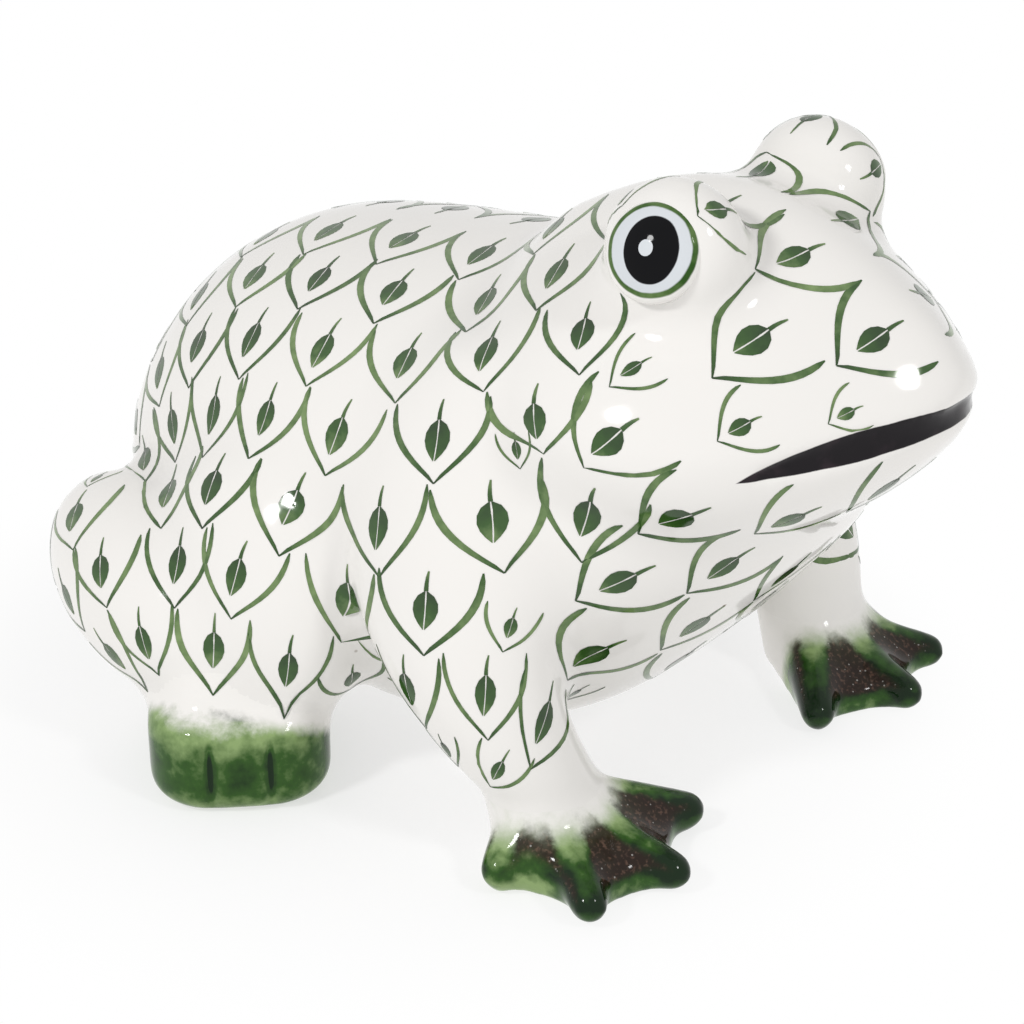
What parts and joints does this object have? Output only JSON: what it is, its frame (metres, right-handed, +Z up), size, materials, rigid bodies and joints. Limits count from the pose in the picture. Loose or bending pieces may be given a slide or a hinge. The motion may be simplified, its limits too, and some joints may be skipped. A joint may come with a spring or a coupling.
{
  "type": "frog figurine",
  "caption": "Sitting frog ornament of glazed ceramic, with domed eyes, a wide mouth and webbed feet, cast in parts and hand-painted with green scales.",
  "frame": {"origin": "on the surface it stands on, under the middle of its length and width", "axes": "+X towards the nose, +Y towards the frog's left side, +Z up"},
  "size_m": [0.166, 0.1422, 0.113],
  "materials": {
    "white_glaze": "glossy warm white ceramic glaze",
    "green_glaze": "glossy green ceramic glaze, washed thin at the edges",
    "eye_glaze": "glossy black and white ceramic glaze"
  },
  "bodies": {
    "root": {"torso_shell": "white_glaze", "head_shell": "white_glaze", "right_eye": "eye_glaze", "left_eye": "eye_glaze", "right_fore_leg": "white_glaze", "left_fore_leg": "white_glaze", "right_fore_foot": "green_glaze", "left_fore_foot": "green_glaze", "right_haunch": "white_glaze", "left_haunch": "white_glaze", "right_shank": "white_glaze", "left_shank": "white_glaze", "right_hind_foot": "green_glaze", "left_hind_foot": "green_glaze"}
  },
  "joints": []
}
